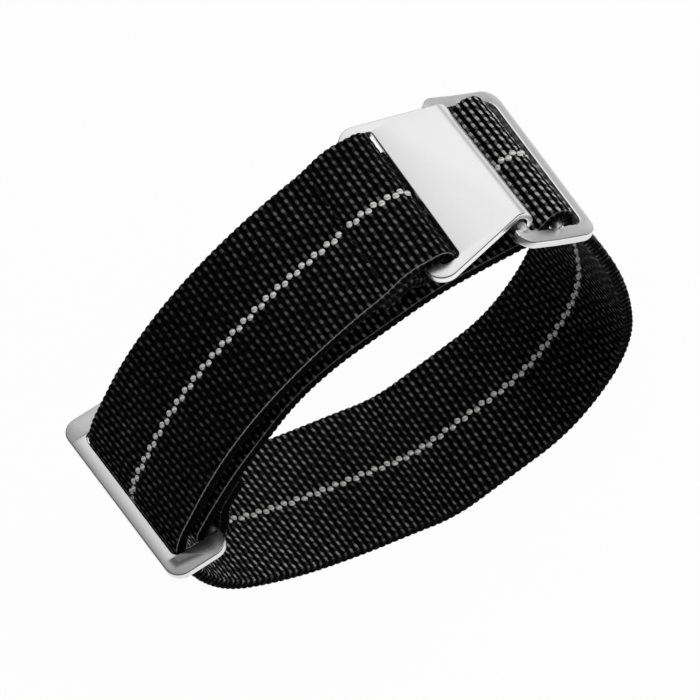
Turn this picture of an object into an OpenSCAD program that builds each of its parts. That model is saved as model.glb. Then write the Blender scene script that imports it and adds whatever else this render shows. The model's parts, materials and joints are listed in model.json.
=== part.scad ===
// Elastic nylon watch strap: one webbing strip, a hook plate, a catch frame and an end frame.
// X runs along the loop, Y across the webbing, Z up. The origin is under the middle of the strap.
// A path is a list of arcs. An arc is [start point in XZ, heading, length, turn to the left].

/* [Webbing] */
// Width of the webbing
strap_w = 20; // [16:0.5:24]
// Thickness of the webbing
strap_t = 1.4; // [1.1:0.1:1.7]
// Width of the light stripe woven into the middle of both faces
stripe_w = 1.3; // [0.6:0.1:2.4]
// Depth of the stripe in each face
stripe_t = 0.3; // [0.15:0.05:0.4]

/* [Loop] */
// Overall length of the webbing loop
loop_l = 61.6; // [58:0.2:66]
// Height of the hook bar of the catch frame over the resting face
catch_z = 45.1; // [43:0.1:48]
// Distance of the catch bar in from the right end of the loop
catch_in = 7; // [6:0.1:8]
// Height of the sewn bar of the end frame over the resting face
end_z = 32.2; // [30:0.1:34]
// Distance of the sewn bar in from the left end of the loop
end_in = 5.3; // [5:0.1:6]
// Left end of the flat stretch that the strap rests on
flat_left = 2.8; // [2:0.1:5]
// Length of the flat stretch that the strap rests on
flat_l = 9.5; // [8:0.1:11]

/* [Hook plate] */
// Thickness of the stamped hook plate
plate_t = 1; // [0.8:0.1:1.2]
// Width of the nose that grips the catch bar
nose_w = 18.8; // [14:0.1:19.6]
// Metal beyond each end of the slot
slot_end_w = 1.9; // [1.4:0.1:2.6]
// Distance from the catch bar to the slot end of the plate
plate_l = 12.4; // [12:0.1:13.5]
// Width of the bar between the slot and the end of the plate
slot_bar_w = 2; // [1.6:0.1:2.2]
// Width of the slot that the webbing passes through
slot_w = 2.25; // [2.2:0.05:2.6]
// Radius of the corners of the slot
slot_r = 0.6; // [0.3:0.1:0.6]
// Radius of the corners at the slot end
plate_corner_r = 2.2; // [1:0.1:2.4]
// Tilt of the plate, down towards its nose
plate_tilt = 14.5; // [13:0.5:17]
// Angle that the nose bends round the catch bar
nose_wrap = 195; // [170:5:205]

/* [Catch frame] */
// Thickness of the stamped frames
frame_t = 1; // [0.8:0.1:1.2]
// Diameter of the round bar that the hook grips
catch_bar_d = 1.6; // [1.4:0.1:1.8]
// Diameter of the round middle bar that the webbing passes over
middle_bar_d = 1.3; // [1.2:0.1:1.6]
// Distance from the catch bar to the middle bar
middle_pitch = 5; // [4.9:0.1:5.4]
// Distance from the middle bar to the right bar
right_pitch = 3.8; // [3.7:0.1:4]
// Width of the flat right bar
right_bar_w = 1.4; // [1.1:0.1:1.5]
// Width of the side rails of the catch frame
catch_rail_w = 1.9; // [1.6:0.1:2.4]
// Reach of the corner webs past the catch bar
web_reach = 1.5; // [1.2:0.1:2]
// Outer corner radius of the catch frame
catch_corner_r = 2; // [1:0.1:2.2]
// Slope of the catch frame, down to the right
catch_tilt = 46; // [43:0.5:49]

/* [End frame] */
// Diameter of the round bar in the sewn fold
sewn_bar_d = 1.3; // [1.2:0.1:1.6]
// Distance from the sewn bar to the inner edge of the outer bar
end_gap = 5.35; // [5.2:0.05:5.8]
// Width of the flat outer bar
outer_bar_w = 1.8; // [1.2:0.1:2.2]
// Width of the side rails of the end frame
end_rail_w = 2.8; // [1.8:0.1:3.2]
// Outer corner radius of the end frame
end_corner_r = 2; // [1:0.1:2.4]
// Slope of the end frame, down to the right
end_tilt = 8; // [6:0.5:10]

/* [Sewing] */
// Distance from the slot bar to the row of stitches
hook_sew = 6.6; // [6.4:0.1:7.4]
// Distance from the sewn bar to the row of stitches
end_sew = 6.2; // [6:0.1:7]
// Webbing beyond each row of stitches
tab_end = 2; // [1.5:0.1:2.5]
// Diameter of the thread
thread_d = 0.4; // [0.3:0.05:0.5]
// Length of one stitch
stitch_l = 1.5; // [1:0.1:2]
// Distance between stitches
stitch_pitch = 2.3; // [2.2:0.1:3]

/* [Clearances] */
// Gap between webbing and the metal that it wraps
wrap_gap = 0.15; // [0.1:0.05:0.25]
// Gap between the nose of the hook and the catch bar
hook_gap = 0.35; // [0.25:0.05:0.4]
// Gap between moving metal and webbing that passes it
pass_gap = 0.25; // [0.2:0.05:0.3]
// Gap between an edge of the webbing and a side rail
side_gap = 0.3; // [0.2:0.05:0.6]
// Gap between two sewn layers
layer_gap = 0.1; // [0.05:0.05:0.2]

/* [Hidden] */
$fn = 64;
steel = "silver";
nylon = [0.12, 0.12, 0.13];
thread = [0.25, 0.25, 0.27];
light_yarn = "gainsboro";
half_t = strap_t / 2;
// Reach of a cutter past the face that it cuts, and past a face that has another layer beside it
cut = 1;
skim = 0.4 * layer_gap;
// Length of round bar that is buried in the rail at each end
bar_root = 0.3;

// Crest of the outer arm, in from the catch bar and over it
crest_in = 18.3;
crest_up = 5.4;
// Shoulder of the outer arm, in from the sewn bar and over it
shoulder_in = 1;
shoulder_up = 6.4;
// Distance of the crossing webbing from the outer bar of the end frame
cross_in = 0.4;
// Left end of the loop, below the sewn bar
left_down = 4.2;
// Lower left of the loop, in from its left end and over the resting face
foot_in = 3.8;
foot_z = 17;
// Rise to the left of the flat stretch, out from it and up
rise_out = 12;
rise_up = 4.7;
// Curl to the right of the flat stretch, in from the right end of the loop and up
curl_in = 7.3;
curl_up = 5.05;
// Right end of the loop, over the resting face
right_up = 24.6;
// Places on the inner layer, in from the catch bar and over it
inner_in = 15.8;
inner_up = 0.3;
top_in = 29.3;
top_up = 0.1;
// Place on the inner layer, in from the sewn bar and over it
slope_in = 9;
slope_up = 8.2;

// Directions and arcs
function unit(a) = [cos(a), sin(a)];
function wrap(a) = a - 360 * round(a / 360);
function radius(arc) = arc[2] / (arc[3] * PI / 180);
function at(arc, s, off) =
    abs(arc[3]) < 0.01
    ? arc[0] + s * unit(arc[1]) + off * unit(arc[1] + 90)
    : arc[0] + radius(arc) * unit(arc[1] + 90)
      - (radius(arc) - off) * unit(arc[1] + arc[3] * s / arc[2] + 90);
function part(arc, s, e) =
    [at(arc, s, 0), arc[1] + arc[3] * s / arc[2], e - s, arc[3] * (e - s) / arc[2]];
function arc_to(p, a, q) =
    let (v = q - p, half = wrap(atan2(v[1], v[0]) - a), chord = norm(v))
    [p, a, abs(half) < 0.005 ? chord : chord * half * PI / 180 / sin(half), 2 * half];
// An arc round a centre, turning left for a positive radius and right for a negative one
function arc_round(c, r, a, b) = [c - r * unit(a + 90), a, r * (b - a) * PI / 180, b - a];
// Two tangent arcs from one point and heading to another
function biarc(p, a, q, b) =
    let (v = q - p, vt = v * (unit(a) + unit(b)), c = 1 - unit(a) * unit(b),
        d = c < 0.000001 ? v * v / (2 * vt) : (sqrt(vt * vt + 2 * c * (v * v)) - vt) / (2 * c),
        first = arc_to(p, a, (p + q + d * (unit(a) - unit(b))) / 2))
    [first, arc_to(at(first, first[2], 0), first[1] + first[3], q)];
// Tangent arcs through a list of [point, heading]
function through(w) = [for (i = [0 : len(w) - 2]) each biarc(w[i][0], w[i][1], w[i + 1][0], w[i + 1][1])];
// The path turned round and moved to its side
function back(path, off) =
    [for (i = [len(path) - 1 : -1 : 0]) let (arc = path[i])
        [at(arc, arc[2], off), arc[1] + arc[3] + 180, arc[2] - off * arc[3] * PI / 180, -arc[3]]];
function starts(path) = [for (i = 0, s = 0; i < len(path); s = s + path[i][2], i = i + 1) s];
function slice(path, s, e) =
    let (from = starts(path))
    [for (i = [0 : len(path) - 1])
        let (a = max(s, from[i]), b = min(e, from[i] + path[i][2]))
        if (b - a > 0.001) part(path[i], a - from[i], b - from[i])];
function length(path) = let (last = len(path) - 1) starts(path)[last] + path[last][2];
function end_of(path) = let (arc = path[len(path) - 1]) [at(arc, arc[2], 0), arc[1] + arc[3]];

// Points along one side of a path, closer together where it turns sharply
function side(path, off) =
    [for (arc = path)
        let (n = max(1, ceil(abs(arc[3]) / 6), ceil(arc[2] / 2)))
        each [for (i = [0 : n - 1]) at(arc, arc[2] * i / n, off)],
     let (arc = path[len(path) - 1]) at(arc, arc[2], off)];
function turned(points) = [for (i = [len(points) - 1 : -1 : 0]) points[i]];

// A strip along a path, between two offsets to the left of it
module strip(path, low, high, width) {
    rotate([90, 0, 0])
        linear_extrude(height = width, center = true)
            polygon(concat(side(path, low), turned(side(path, high))));
}

// Webbing with a groove for the stripe in each face
module webbing(path) {
    difference() {
        strip(path, -half_t, half_t, strap_w);
        strip(path, -half_t - skim, stripe_t - half_t, stripe_w);
        strip(path, half_t - stripe_t, half_t + skim, stripe_w);
    }
}

module stripe(path) {
    strip(path, -half_t, stripe_t - half_t, stripe_w);
    strip(path, half_t - stripe_t, half_t, stripe_w);
}

// Place children, drawn along X and up Z, at a point of the loop
module placed(point, heading) {
    translate([point[0], 0, point[1]]) rotate([0, -heading, 0]) children();
}

// A flat shape, drawn along X and across Y, with its lower face at a height
module flat(height, thickness) {
    translate([0, 0, height]) linear_extrude(height = thickness) children();
}

// A round bar along Y, at its middle
module bar(x, d, l, z = 0) {
    translate([x, l / 2, z]) rotate([90, 0, 0]) cylinder(d = d, h = l);
}

module rounded_box(x0, x1, w, r) {
    translate([x0 + r, -w / 2]) square([x1 - x0 - 2 * r, w]);
    translate([x0, r - w / 2]) square([x1 - x0, w - 2 * r]);
    for (x = [x0 + r, x1 - r], y = [r - w / 2, w / 2 - r]) translate([x, y]) circle(r);
}

// Hardware places
bar_r = catch_bar_d / 2;
jaw_in = bar_r + hook_gap;
jaw_out = jaw_in + plate_t;
window_w = strap_w + 2 * side_gap;
// Corners of the windows of the two frames
window_r = 1.2;
end_window_r = 0.8;
bar_l = window_w + 2 * bar_root;
// The end frame reaches past the webbing, so the loop sits to the right of the middle
overhang = (end_gap + outer_bar_w) * cos(end_tilt) + frame_t / 2 * sin(end_tilt) - end_in;
right_x = (loop_l + overhang) / 2;
left_x = right_x - loop_l;
catch_bar = [right_x - catch_in, catch_z];
sewn_bar = [left_x + end_in, end_z];
plate_w = window_w + 2 * slot_end_w;
function catch_at(u) = catch_bar + u * unit(-catch_tilt);
function plate_at(u, v) = catch_bar + u * unit(180 - plate_tilt) + v * unit(90 - plate_tilt);

// The fold round the slot bar, centred near the slot so that it clears the bar's corners
fold_inset = 0.3;
fold_r = plate_t / 2 + wrap_gap + half_t;
fold_u = plate_l - slot_bar_w + fold_inset;
fold_c = plate_at(fold_u, jaw_in + plate_t / 2);
bar_clear = slot_bar_w - fold_inset + 0.3;
left_up = 180 - plate_tilt;
hook_wrap = [arc_round(fold_c, fold_r, left_up - 180, left_up)];
over_bar = [[end_of(hook_wrap)[0], left_up, bar_clear, 0]];

// The outer arm and the lower band
arm_crest = catch_bar + [-crest_in, crest_up];
arm_shoulder = sewn_bar + [shoulder_in, shoulder_up];
crossing = [sewn_bar + (end_gap - half_t - cross_in) * unit(180 - end_tilt), 245];
left_end = [left_x + half_t, end_z - left_down];
left_foot = [left_end[0] + foot_in, foot_z];
left_rise = [flat_left - rise_out, half_t + rise_up];
flat_right = flat_left + flat_l;
right_foot = [right_x - curl_in, half_t + curl_up];
right_end = [right_x - half_t, right_up];
arm_full = concat(over_bar,
    through([end_of(over_bar), [arm_crest, 184], [arm_shoulder, 222], crossing]));

// The run through the catch frame: under its right bar, over its middle bar, past the hook
middle = catch_at(middle_pitch);
right_bar = catch_at(middle_pitch + right_pitch);
over_r = middle_bar_d / 2 + wrap_gap + half_t;
under_r = norm([right_bar_w, frame_t]) / 2 + pass_gap + half_t;
hook_r = jaw_out + pass_gap + half_t;
along = 180 - catch_tilt;
up_heading = along - asin((over_r + under_r) / right_pitch);
down_heading = along + asin((over_r + hook_r) / middle_pitch);
under_heading = 112;
inner_heading = 162;
under_right = arc_round(right_bar, -under_r, under_heading, up_heading);
over_middle = arc_round(middle, over_r, up_heading, down_heading);
past_hook = arc_round(catch_bar, -hook_r, down_heading, inner_heading);
catch_path = [under_right, arc_to(at(under_right, under_right[2], 0), up_heading, over_middle[0]),
    over_middle, arc_to(at(over_middle, over_middle[2], 0), down_heading, past_hook[0]), past_hook];
band_path = through([crossing, [left_end, 270], [left_foot, 312], [left_rise, 333],
    [[flat_left, half_t], 360], [[flat_right, half_t], 360], [right_foot, 400],
    [right_end, 450], [under_right[0], 360 + under_heading]]);

// The inner layer and the fold round the sewn bar
sewn_r = sewn_bar_d / 2 + wrap_gap + half_t;
inner_crest = catch_bar + [-inner_in, inner_up];
inner_top = catch_bar + [-top_in, top_up];
inner_slope = sewn_bar + [slope_in, slope_up];
end_heading = 222;
end_turn = 200;
end_wrap = [arc_round(sewn_bar, sewn_r, end_heading, end_heading + end_turn)];
inner_path = through([[at(past_hook, past_hook[2], 0), inner_heading], [inner_crest, 178],
    [inner_top, 191], [inner_slope, 208], [end_wrap[0][0], end_heading]]);

// The sewn tabs run beside the layer that they are sewn to
step = strap_t + layer_gap;
tab_start = 1.5;
hook_layer = slice(arm_full, 0, hook_sew + tab_end);
arm_path = slice(arm_full, hook_sew + tab_end, length(arm_full));
hook_tab = back(slice(arm_full, hook_sew - tab_start, hook_sew + tab_end), step);
under_bar = [fold_c - fold_r * unit(90 - plate_tilt) + (slot_bar_w - fold_inset) * unit(left_up),
    left_up - 180];
hook_path = concat(hook_tab, through([end_of(hook_tab), under_bar]),
    [[under_bar[0], under_bar[1], slot_bar_w - fold_inset, 0]], hook_wrap, hook_layer);
inner_l = length(inner_path);
end_tab = back(slice(inner_path, inner_l - end_sew - tab_end, inner_l - end_sew + tab_start), step);
end_path = concat(end_wrap, through([end_of(end_wrap), [end_tab[0][0], end_tab[0][1]]]), end_tab);

module nose_plate_outline() {
    r = plate_corner_r;
    slope = (plate_w - nose_w) / 2 / (plate_l - r);
    lean = sqrt(1 + slope * slope);
    cx = plate_l - r;
    cy = nose_w / 2 + slope * cx - r * lean;
    side_x = cx - r * slope / lean;
    side_y = cy + r / lean;
    difference() {
        union() {
            polygon([[0, -nose_w / 2], [0, nose_w / 2], [side_x, side_y], [cx, cy],
                [plate_l, cy], [plate_l, -cy], [cx, -cy], [side_x, -side_y]]);
            for (y = [-cy, cy]) translate([cx, y]) circle(r);
        }
        rounded_box(plate_l - slot_bar_w - slot_w, plate_l - slot_bar_w, window_w, slot_r);
    }
}

module hook_plate() {
    color(steel)
        placed(catch_bar, 180 - plate_tilt)
            mirror([0, 0, 1])
                union() {
                    flat(jaw_in, plate_t) nose_plate_outline();
                    rotate([90, 0, 0])
                        rotate([0, 0, 90])
                            rotate_extrude(angle = nose_wrap)
                                translate([jaw_in, -nose_w / 2]) square([plate_t, nose_w]);
                }
}

module catch_frame() {
    end_x = middle_pitch + right_pitch + right_bar_w / 2;
    notch_w = nose_w + 4 * side_gap;
    frame_w = window_w + 2 * catch_rail_w;
    color(steel)
        placed(catch_bar, -catch_tilt) {
            flat(-frame_t / 2, frame_t)
                difference() {
                    rounded_box(-web_reach, end_x, frame_w, catch_corner_r);
                    rounded_box(0, end_x - right_bar_w, window_w, window_r);
                    translate([-web_reach - cut, -notch_w / 2])
                        square([web_reach + cut + window_r, notch_w]);
                }
            bar(0, catch_bar_d, notch_w + 2 * bar_root);
            bar(middle_pitch, middle_bar_d, bar_l);
        }
}

module end_frame() {
    frame_w = window_w + 2 * end_rail_w;
    back_x = -sewn_bar_d / 2;
    color(steel)
        placed(sewn_bar, 180 - end_tilt) {
            flat(-frame_t / 2, frame_t)
                difference() {
                    rounded_box(back_x, end_gap + outer_bar_w, frame_w, end_corner_r);
                    rounded_box(back_x - 2 * end_window_r, end_gap, window_w, end_window_r);
                }
            bar(0, sewn_bar_d, bar_l);
        }
}

// A row of thread loops across the webbing, each through both layers
module stitch_row(wide) {
    edge = 1.2;
    count = floor((strap_w - 2 * edge) / stitch_pitch);
    slack = 0.1;
    d = wide ? thread_d + slack : thread_d;
    top = half_t + thread_d / 2;
    low = -half_t - step - thread_d / 2;
    foot = wide ? low - cut : low;
    head = wide ? top + cut : top;
    for (i = [0 : count - 1])
        translate([0, (i - (count - 1) / 2) * stitch_pitch, 0]) {
            for (y = [-stitch_l / 2, stitch_l / 2])
                translate([0, y, foot]) cylinder(d = d, h = head - foot);
            if (!wide)
                for (z = [low, top]) bar(0, d, stitch_l, z);
        }
}

module hook_sewing(wide) {
    spot = slice(arm_full, hook_sew, hook_sew + tab_end)[0];
    placed(spot[0], spot[1] + 180) stitch_row(wide);
}

module end_sewing(wide) {
    spot = slice(inner_path, inner_l - end_sew, inner_l)[0];
    placed(spot[0], spot[1] + 180) stitch_row(wide);
}

module hook_fold() {
    color(nylon) difference() {
        webbing(hook_path);
        hook_sewing(true);
    }
}

module outer_arm() {
    color(nylon) webbing(arm_path);
}

module lower_band() {
    color(nylon) webbing(band_path);
}

module catch_run() {
    color(nylon) webbing(catch_path);
}

module inner_layer() {
    color(nylon) difference() {
        webbing(inner_path);
        end_sewing(true);
    }
}

module end_fold() {
    color(nylon) difference() {
        webbing(end_path);
        end_sewing(true);
    }
}

module hook_stitching() {
    color(thread) hook_sewing(false);
}

module end_stitching() {
    color(thread) end_sewing(false);
}

module hook_stripe() {
    color(light_yarn) difference() {
        stripe(hook_path);
        hook_sewing(true);
    }
}

module arm_stripe() {
    color(light_yarn) stripe(arm_path);
}

module band_stripe() {
    color(light_yarn) difference() {
        stripe(concat(band_path, catch_path, inner_path, end_path));
        end_sewing(true);
    }
}

hook_plate();
catch_frame();
end_frame();
hook_fold();
outer_arm();
lower_band();
catch_run();
inner_layer();
end_fold();
hook_stitching();
end_stitching();
hook_stripe();
arm_stripe();
band_stripe();
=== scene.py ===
"""Elastic nylon watch strap: the looks of its webbing, stripe, sewing and satin steel hardware."""

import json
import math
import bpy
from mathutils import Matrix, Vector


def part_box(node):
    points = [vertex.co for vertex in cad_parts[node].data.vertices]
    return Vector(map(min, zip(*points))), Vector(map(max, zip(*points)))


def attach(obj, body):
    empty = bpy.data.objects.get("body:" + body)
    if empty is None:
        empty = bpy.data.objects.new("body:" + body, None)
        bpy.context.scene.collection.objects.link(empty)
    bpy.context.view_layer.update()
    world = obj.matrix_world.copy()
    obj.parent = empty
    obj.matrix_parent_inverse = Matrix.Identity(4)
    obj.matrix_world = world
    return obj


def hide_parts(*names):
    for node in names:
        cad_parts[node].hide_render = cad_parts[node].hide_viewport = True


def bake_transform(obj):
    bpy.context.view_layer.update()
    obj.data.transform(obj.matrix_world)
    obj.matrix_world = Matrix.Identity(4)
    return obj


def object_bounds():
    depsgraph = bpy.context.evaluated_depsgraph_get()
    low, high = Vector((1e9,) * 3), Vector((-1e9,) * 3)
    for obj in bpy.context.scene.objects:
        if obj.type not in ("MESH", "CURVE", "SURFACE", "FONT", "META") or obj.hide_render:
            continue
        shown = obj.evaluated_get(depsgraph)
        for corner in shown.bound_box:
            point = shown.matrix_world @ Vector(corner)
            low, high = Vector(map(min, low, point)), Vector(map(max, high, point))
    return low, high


bl_info = {
    "name": "Nylon Watch Strap",
    "version": (1, 0, 0),
    "blender": (4, 5, 0),
    "location": "View3D > Sidebar > Strap",
    "description": "Builds the webbing, sewing and hardware of an elastic nylon watch strap",
    "category": "Add Mesh",
}

import bpy
import numpy as np
from bpy.props import FloatProperty, FloatVectorProperty, PointerProperty
from mathutils import Matrix, Vector

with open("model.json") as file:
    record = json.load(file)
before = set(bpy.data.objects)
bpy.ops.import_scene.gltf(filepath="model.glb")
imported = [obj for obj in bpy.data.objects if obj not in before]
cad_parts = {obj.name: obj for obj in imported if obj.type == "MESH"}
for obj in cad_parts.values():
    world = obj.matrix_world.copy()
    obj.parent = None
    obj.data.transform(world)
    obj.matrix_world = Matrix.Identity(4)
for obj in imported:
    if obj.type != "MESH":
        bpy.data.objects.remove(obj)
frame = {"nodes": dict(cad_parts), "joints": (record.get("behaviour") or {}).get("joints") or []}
CAD_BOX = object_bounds()
MM = 0.001
JOINTS = {joint["name"]: Vector(joint["pos_m"]) for joint in frame["joints"]}
BAND_LOW, BAND_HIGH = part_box("lower_band")


# Settings that a user would change


def length(name, description, default):
    kind = {"min": 0.0, "subtype": "DISTANCE", "unit": "LENGTH"}
    return FloatProperty(name=name, description=description, default=default, **kind)


def number(name, description, default):
    return FloatProperty(name=name, description=description, default=default)


def colour(name, description, default):
    kind = {"size": 3, "subtype": "COLOR", "min": 0.0, "max": 1.0}
    return FloatVectorProperty(name=name, description=description, default=default, **kind)


class WebbingSettings(bpy.types.PropertyGroup):
    row_pitch: length("Row pitch", "Distance between two cross rows of the weave", 0.93 * MM)
    bend_density: number("Bend density", "Share of a bend's stretch that more rows fill", 1.3)
    relief: length("Relief", "Height of a float of yarn over the gaps round it", 0.2 * MM)
    proud: length("Proud", "Part of the relief that stands over the face", 0.07 * MM)
    serration: length("Serration", "Depth of the notches between rows at an edge", 0.1 * MM)
    # The yarn colour is a painted sheen: the grey that the black floats show where they catch the
    # light.
    yarn: colour("Yarn", "Colour of the worn yarn on top of the floats", (0.42, 0.42, 0.42))
    gap: colour("Gap", "Colour of the black yarn between floats", (0.0007, 0.0007, 0.0008))
    # The colour of the edges' corners is a painted highlight.
    edge_highlight: colour("Selvedge", "Colour of the worn corner of each edge", (0.34, 0.34, 0.34))
    roughness: number("Roughness", "Roughness of the yarn", 0.6)


class StripeSettings(bpy.types.PropertyGroup):
    bead_length: length("Bead length", "Size of a stripe bead along the webbing", 0.88 * MM)
    bead_width: length("Bead width", "Size of a stripe bead across the webbing", 0.92 * MM)
    bead_height: length("Bead height", "Thickness of a stripe bead", 0.62 * MM)
    zigzag: length("Zig-zag", "How far the beads lie to either side of the middle", 0.19 * MM)
    light: colour("Light yarn", "Colour of the light yarn", (0.72, 0.72, 0.71))


class HardwareSettings(bpy.types.PropertyGroup):
    edge_round: length("Edge rounding", "Radius of the hardware's tumbled edges", 0.17 * MM)
    # The plate's and the frames' steel are one steel, painted lighter on the plate and darker on
    # the frames as light and shade.
    lit_plate_steel: colour("Plate steel", "Colour of the hook plate's steel", (0.93, 0.93, 0.935))
    shaded_frame_steel: colour("Frame steel", "Colour of the two frames' steel", (0.8, 0.8, 0.805))
    roughness: number("Roughness", "Roughness of the satin faces", 0.34)
    edge_roughness: number("Edge roughness", "Roughness of the polished edges", 0.2)


class PoseSettings(bpy.types.PropertyGroup):
    hook_twist: number("Hook twist", "Slope of the hook plate across the strap", 0.032)
    end_twist: number("End twist", "Slope of the end frame across the strap", -0.045)
    catch_twist: number("Catch twist", "Slope of the catch frame across the strap", 0.03)
    catch_reach: length("Catch reach", "How far its right bar stands out", 0.36 * MM)
    catch_aside: length("Catch aside", "How far it has slipped to the near side", 0.35 * MM)
    nose_press: number("Nose press", "Part of the nose's reach left when drawn home", 0.77)


class SewingSettings(bpy.types.PropertyGroup):
    thread: length("Thread", "Diameter of the sewing thread", 0.4 * MM)
    stitch: length("Stitch", "Length of one stitch", 1.5 * MM)
    pitch: length("Stitch pitch", "Distance between two stitches", 2.3 * MM)
    colour: colour("Thread colour", "Colour of the sewing thread", (0.012, 0.012, 0.013))


class StageSettings(bpy.types.PropertyGroup):
    lens: number("Lens", "Focal length of the camera in millimetres", 197.87)
    distance: length("Distance", "Distance of the camera from its target", 0.45)
    elevation: number("Elevation", "Angle of the view over the horizon in degrees", 58.5)
    roll: number("Roll", "Turn of the picture round the line of sight in degrees", -36.5)
    target_height: length("Target height", "Height of the target over the floor", 30.15 * MM)
    key_power: number("Key power", "Power of the large light over the strap in watts", 0.7)
    fill_power: number("Fill power", "Power of the light at the side in watts", 1.1)
    sky: number("Sky", "Strength of the light from all round", 0.35)
    horizon: number("Horizon", "Strength of the walls that the metal reflects", 0.1)


def settings(name):
    return getattr(bpy.context.scene, "strap_" + name)


# The course of the webbing, as arcs in the XZ plane


def unit(angle):
    return Vector((math.cos(math.radians(angle)), math.sin(math.radians(angle))))


def wrapped(angle):
    """An angle brought within half a turn of zero."""
    return angle - 360 * round(angle / 360)


class Arc:
    """A stretch of the course: its start, its heading there, its length and its left turn."""

    def __init__(self, start, heading, size, turn):
        self.start, self.heading, self.size, self.turn = start, heading, size, turn

    def at(self, s, off=0.0):
        if abs(self.turn) < 0.01:
            return self.start + s * unit(self.heading) + off * unit(self.heading + 90)
        radius = self.size / math.radians(self.turn)
        now = self.heading + self.turn * s / self.size
        return self.start + radius * unit(self.heading + 90) - (radius - off) * unit(now + 90)

    def heading_at(self, s):
        return self.heading + self.turn * s / self.size

    def part(self, begin, end):
        size = end - begin
        return Arc(self.at(begin), self.heading_at(begin), size, self.turn * size / self.size)


def arc_to(start, heading, goal):
    """The arc that leaves a start on a heading and ends at the goal."""
    v = goal - start
    half = wrapped(math.degrees(math.atan2(v.y, v.x)) - heading)
    if abs(half) < 0.005:
        return Arc(start, heading, v.length, 2 * half)
    size = v.length * math.radians(half) / math.sin(math.radians(half))
    return Arc(start, heading, size, 2 * half)


def arc_round(centre, radius, begin, end):
    """The arc round a centre between two headings. A negative radius turns to the right."""
    start = centre - radius * unit(begin + 90)
    return Arc(start, begin, radius * math.radians(end - begin), end - begin)


def two_arcs(start, heading, goal, goal_heading):
    """Two arcs that meet smoothly, from a start and heading to a goal and heading."""
    v = goal - start
    across = v.dot(unit(heading) + unit(goal_heading))
    c = 1 - unit(heading).dot(unit(goal_heading))
    if c < 1e-6:
        d = v.dot(v) / (2 * across)
    else:
        d = (math.sqrt(across * across + 2 * c * v.dot(v)) - across) / (2 * c)
    first = arc_to(start, heading, (start + goal + d * (unit(heading) - unit(goal_heading))) / 2)
    return [first, arc_to(first.at(first.size), first.heading_at(first.size), goal)]


def through(points):
    """A smooth run through points, each with its heading."""
    return [arc for a, b in zip(points, points[1:]) for arc in two_arcs(a[0], a[1], b[0], b[1])]


def size_of(arcs):
    return sum(arc.size for arc in arcs)


def end_of(arcs):
    return arcs[-1].at(arcs[-1].size), arcs[-1].heading_at(arcs[-1].size)


def sliced(arcs, begin, end):
    """The part of a run between two distances from its start."""
    found, start = [], 0.0
    for arc in arcs:
        a, b = max(begin, start), min(end, start + arc.size)
        if b - a > 1e-6:
            found.append(arc.part(a - start, b - start))
        start += arc.size
    return found


def turned_back(arcs, off):
    """The same run in the other direction, moved aside by an offset."""
    found = []
    for arc in reversed(arcs):
        size = arc.size - off * math.radians(arc.turn)
        found.append(Arc(arc.at(arc.size, off), arc.heading_at(arc.size) + 180, size, -arc.turn))
    return found


# The hardware that the webbing runs round: tilts in degrees, sizes, and the gaps beside the bars

PLATE_TILT = 14.5
CATCH_TILT = 46
END_TILT = 8
PLATE_THICKNESS = 1.0 * MM
PLATE_LENGTH = 12.4 * MM
JAW_RADIUS = 1.15 * MM
SLOT_BAR = 2.0 * MM
SLOT_INSET = 0.3 * MM
BAR_RADIUS = 0.65 * MM
CATCH_PITCH = 5 * MM
RIGHT_PITCH = 3.8 * MM
RIGHT_BAR = (1.4 * MM, 1.0 * MM)
OUTER_BAR = 5.35 * MM
WRAP_GAP = 0.15 * MM
PASS_GAP = 0.25 * MM
OUTER_GAP = 0.28 * MM

# The sewn tabs: the gap under them, and how far they lie flat on the bar's side of the sewing

TAB_GAP = 0.1 * MM
TAB_RUN = 1.5 * MM


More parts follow.
